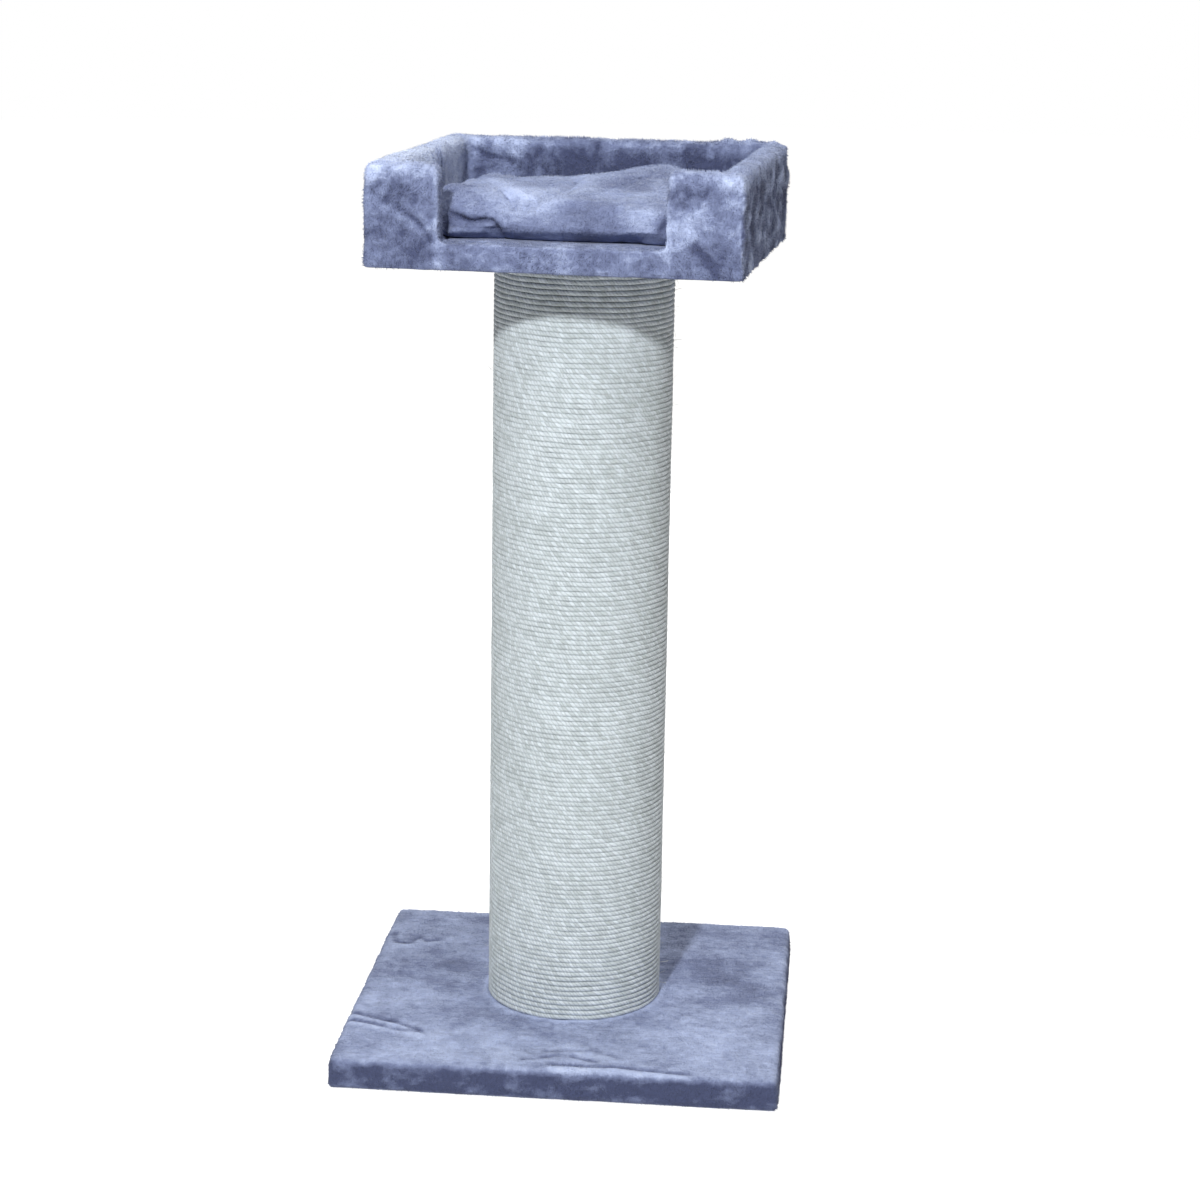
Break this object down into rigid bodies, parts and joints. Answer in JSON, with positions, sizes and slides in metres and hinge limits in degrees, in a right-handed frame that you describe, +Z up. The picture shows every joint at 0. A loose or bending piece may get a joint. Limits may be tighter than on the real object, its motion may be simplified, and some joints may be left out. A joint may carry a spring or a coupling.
{
  "type": "cat scratching post",
  "caption": "Free-standing cat scratching post: a square plush-covered base, a thick post wound with sisal rope, and an open-fronted plush-covered bed with a loose cushion on top.",
  "frame": {"origin": "on the floor under the middle of the base's bounding box", "axes": "+Z up along the post; +X to the right as seen from the bed's open front; +Y to the back. The base is square to X and Y; the bed is turned 4.5 degrees clockwise (seen from above) about the post."},
  "size_m": [0.4958, 0.4848, 1.0106],
  "materials": {
    "plush": "short-pile blue-grey plush, brushed in patches",
    "plush_cushion": "short-pile blue-grey plush, puffy",
    "sisal": "pale twisted natural fibre rope",
    "filling": "white polyester wadding",
    "chipboard": "raw sawn chipboard",
    "plywood": "raw turned plywood",
    "paper": "spiral-wound brown paper tube",
    "steel": "zinc-plated"
  },
  "bodies": {
    "root": {"base_board": "chipboard", "base_cover": "plush", "bolts": "steel", "washers": "steel", "prong_nuts": "steel", "end_plugs": "plywood", "post_tube": "paper", "sisal_rope": "sisal", "upright_screws": "steel", "corner_screws": "steel", "bed_wall_cover": "plush", "bed_floor_cover": "plush", "bed_underside_cover": "plush", "bed_floor_board": "chipboard", "left_wall_board": "chipboard", "right_wall_board": "chipboard", "back_wall_board": "chipboard", "left_cheek_board": "chipboard", "right_cheek_board": "chipboard"},
    "cushion": {"cushion_cover": "plush_cushion", "cushion_filling": "filling"}
  },
  "joints": [
    {"name": "cushion_lift", "type": "slide", "parent": "root", "child": "cushion", "axis": [0, 0, 1], "range_m": [0, 0.25]}
  ]
}
